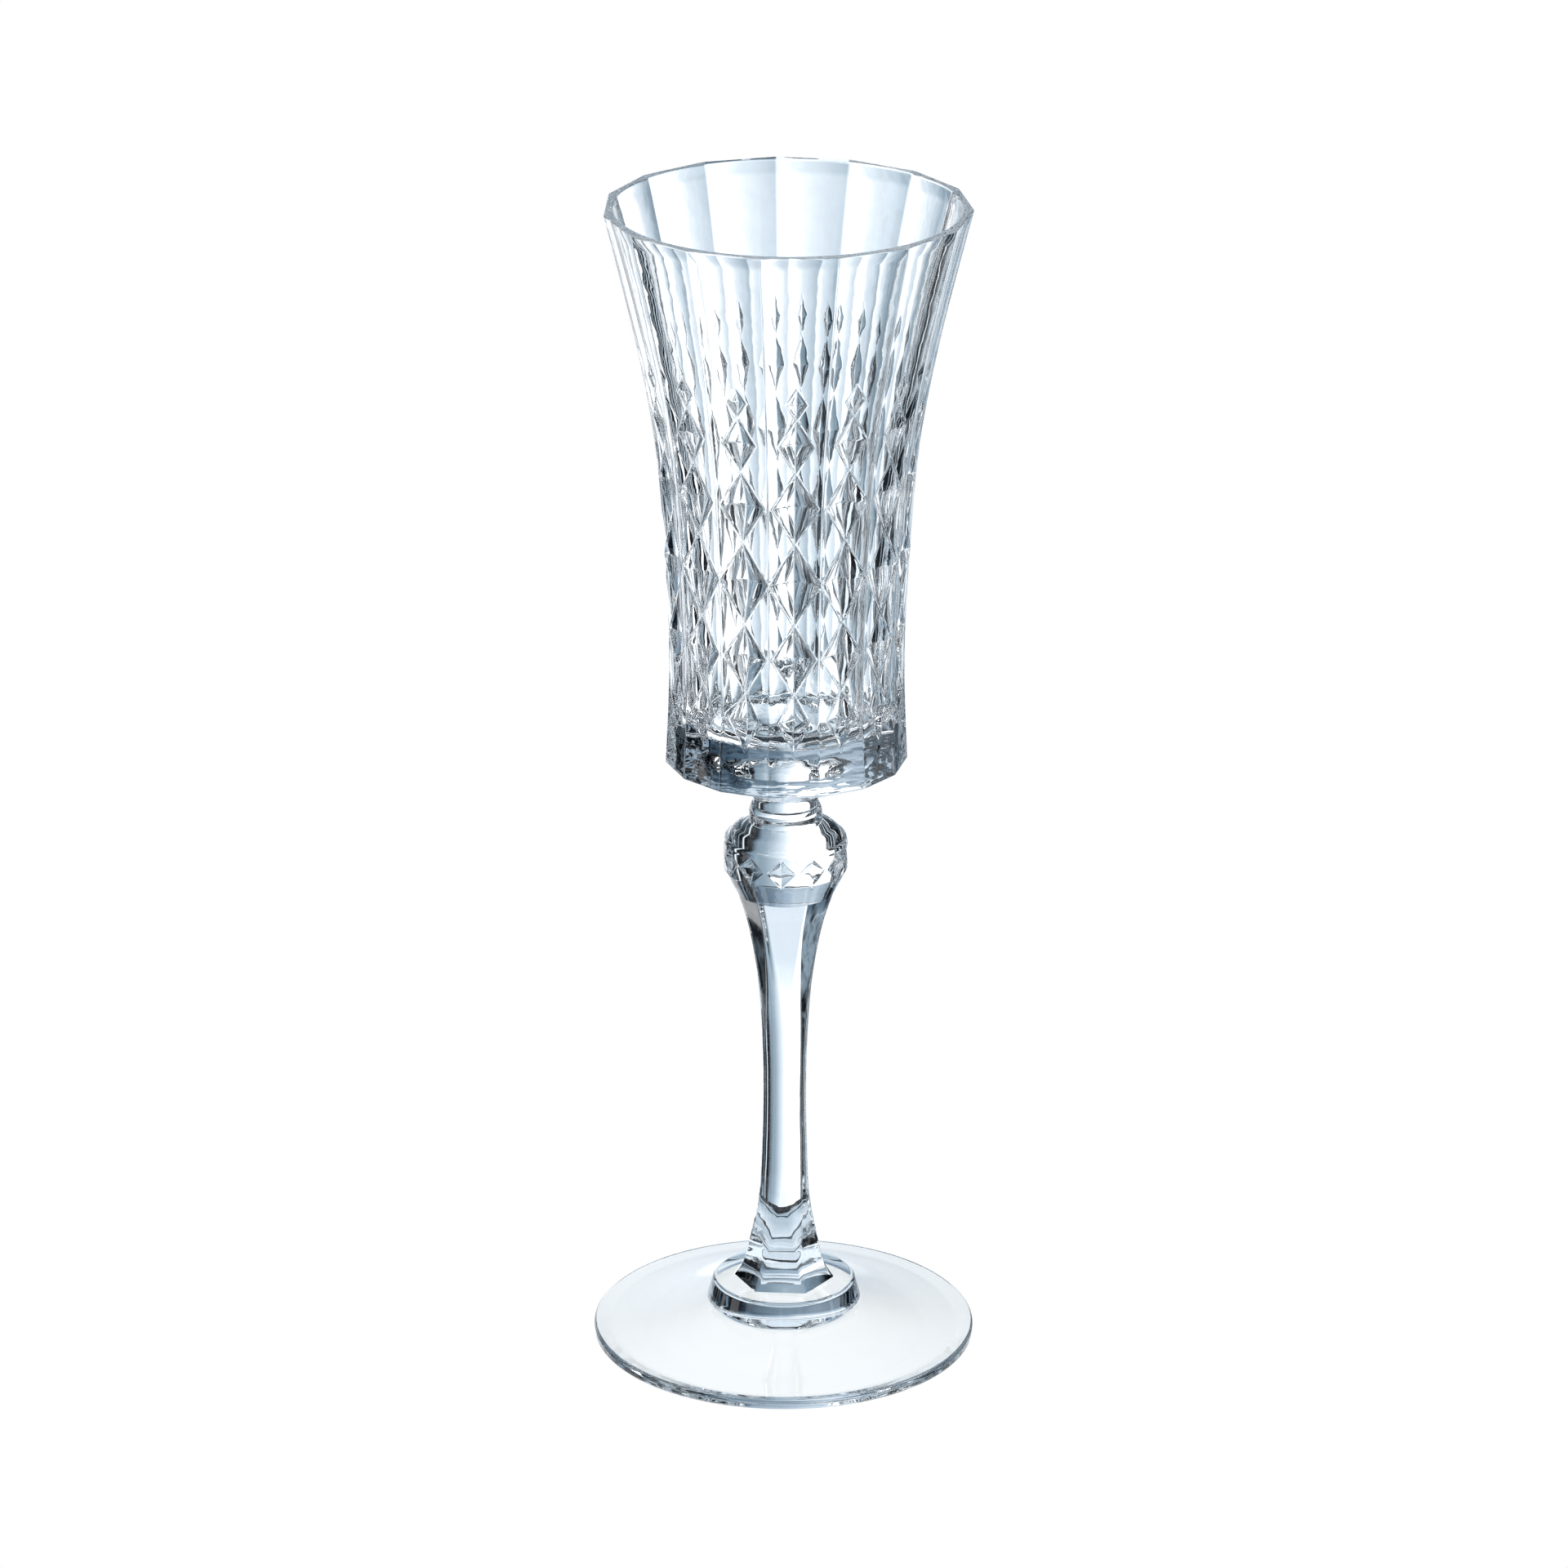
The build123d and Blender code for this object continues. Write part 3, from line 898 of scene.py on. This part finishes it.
def make_world():
    """The studio round the glass. The camera itself sees plain white behind the flute."""
    world = bpy.data.worlds.new("studio")
    bpy.context.scene.world = world
    world.use_nodes = True
    tree = world.node_tree
    tree.nodes.clear()
    direction = add(tree, "ShaderNodeTexCoord").outputs["Generated"]
    colour = studio_colours(tree, direction)
    seen = add(tree, "ShaderNodeLightPath").outputs["Is Camera Ray"]
    pale = add(tree, "ShaderNodeBackground", Color=(1, 1, 1, 1), Strength=1.0)
    studio = add(tree, "ShaderNodeBackground", Color=colour, Strength=1.0)
    add(tree, "ShaderNodeOutputWorld", Surface=mix_shaders(tree, seen, studio, pale))


# (radius, height) of the floor's sheets in metres. They lie just below the foot.
FLOOR = (4.0, -0.0003)
# The ring of painted shade round the foot
PAINTED_SHADE_RING = (0.043, -0.00025)
UNDER_FOOT = (0.038, -0.0002)
SHEET_SIDES = 96

# The table as it is seen through thin glass, and as the thick stem shows it: pale with thin dark rings of
# painted shade that stand in for the shade seen in the thick glass, as (radius, colour) from the axis
# towards TABLE_REACH. A deep ray has met more than two surfaces.
TABLE_TINT = (0.97, 0.99, 1.0)
TABLE_GLOW = 1.08
TABLE_REACH = 40
PAINTED_SHADE_RINGS = [(0, HAZE), (5.8, HAZE), (6.1, DARK), (7.0, DARK), (7.3, PALE), (12, PALE),
               (17.1, HAZE), (17.4, DARK), (19.0, DARK), (19.3, PALE), (24, HAZE),
               (25.6, HAZE), (25.8, DARK), (26.7, DARK), (26.9, PALE), (31, HAZE),
               (34.5, MIST), (34.7, DARK), (35.4, DARK), (35.6, MIST), (38, SMOKE)]
DEEP_RAY = 2.5


def floor_sheet(name, radius, height, material):
    """A round level sheet that belongs to the stage."""
    mesh = bpy.data.meshes.new(name)
    c, s = circle(SHEET_SIDES)
    mesh.from_pydata([(radius * x, radius * y, 0) for x, y in zip(c, s)], [], [tuple(range(SHEET_SIDES))])
    mesh.materials.append(material)
    sheet = new_object(name, mesh)
    sheet.location.z = height
    return sheet


def painted_shade_rings_under_foot(tree):
    """The colour of the painted shade rings at a place under the foot."""
    reach = add(tree, "ShaderNodeVectorMath")
    reach.operation = "LENGTH"
    tree.links.new(add(tree, "ShaderNodeTexCoord").outputs["Object"], reach.inputs[0])
    share = math_node(tree, "DIVIDE", reach.outputs["Value"], TABLE_REACH * MM)
    stops = [(radius / TABLE_REACH, colour) for radius, colour in PAINTED_SHADE_RINGS]
    return ramp(tree, share, stops)


def is_deep(tree):
    """1 for a ray from deep in the glass, and 0 for one through thin glass."""
    return math_node(tree, "GREATER_THAN", add(tree, "ShaderNodeLightPath").outputs["Ray Depth"], DEEP_RAY)


def make_floor():
    """A wide pale floor, lit evenly like a light table. Through the glass, only the part of it right under
    the foot is seen, and past that the studio. For deep rays that part shows thin rings of painted shade."""
    material, tree = new_material("pale_floor")
    glow = add(tree, "ShaderNodeEmission", Color=(1, 1, 1, 1), Strength=1.0)
    add(tree, "ShaderNodeOutputMaterial", Surface=glow.outputs[0])
    shaded, tree = new_material("floor_through_glass")
    glow = add(tree, "ShaderNodeEmission", Color=(*TABLE_TINT, 1), Strength=TABLE_GLOW)
    # Painted shade: deep rays see dark rings under the foot in place of the shade in the thick glass
    dim = add(tree, "ShaderNodeEmission", Color=painted_shade_rings_under_foot(tree), Strength=1.0)
    add(tree, "ShaderNodeOutputMaterial", Surface=mix_shaders(tree, is_deep(tree), glow, dim))
    wide = floor_sheet("floor", *FLOOR, material)
    wide.visible_transmission = False
    wide.visible_glossy = False
    under = floor_sheet("floor_under_foot", *UNDER_FOOT, shaded)
    under.visible_camera = False


def make_painted_shade_ring():
    """Painted shade: a dark ring on the table round the foot, in place of the shade seen through the foot's
    thin rim. Deep rays pass it.
    """
    material, tree = new_material("painted_shade_ring")
    # Painted shade: a dark glow in place of the shade seen through the foot's rim
    dark = add(tree, "ShaderNodeEmission", Color=(*DARK, 1), Strength=1.0)
    clear = add(tree, "ShaderNodeBsdfTransparent")
    add(tree, "ShaderNodeOutputMaterial", Surface=mix_shaders(tree, is_deep(tree), dark, clear))
    ring = floor_sheet("painted_shade_ring", *PAINTED_SHADE_RING, material)
    ring.visible_camera = False


# (name, place, size, power), in metres and watts
LAMPS = [("key", (-0.9, -0.6, 1.4), 0.6, 6.0), ("fill", (1.1, 0.2, 1.2), 0.5, 3.0)]
LAMP_AIM = Vector((0, 0, 0.12))


def make_lights():
    """Two soft lamps that shine on the flute from above."""
    for name, place, size, power in LAMPS:
        data = bpy.data.lights.new(name, "AREA")
        data.size = size
        data.energy = power
        lamp = new_object(name, data)
        lamp.location = place
        lamp.rotation_euler = (LAMP_AIM - Vector(place)).to_track_quat("-Z", "Y").to_euler()


LIGHT_BOUNCES = 40


def let_light_through():
    """Thick cut glass passes light back and forth many times before it comes out."""
    paths = bpy.context.scene.cycles
    paths.max_bounces = paths.transmission_bounces = paths.glossy_bounces = LIGHT_BOUNCES
    paths.transparent_max_bounces = LIGHT_BOUNCES


make_world()
make_floor()
make_painted_shade_ring()
make_lights()
let_light_through()
bpy.context.scene.view_settings.view_transform = "Standard"
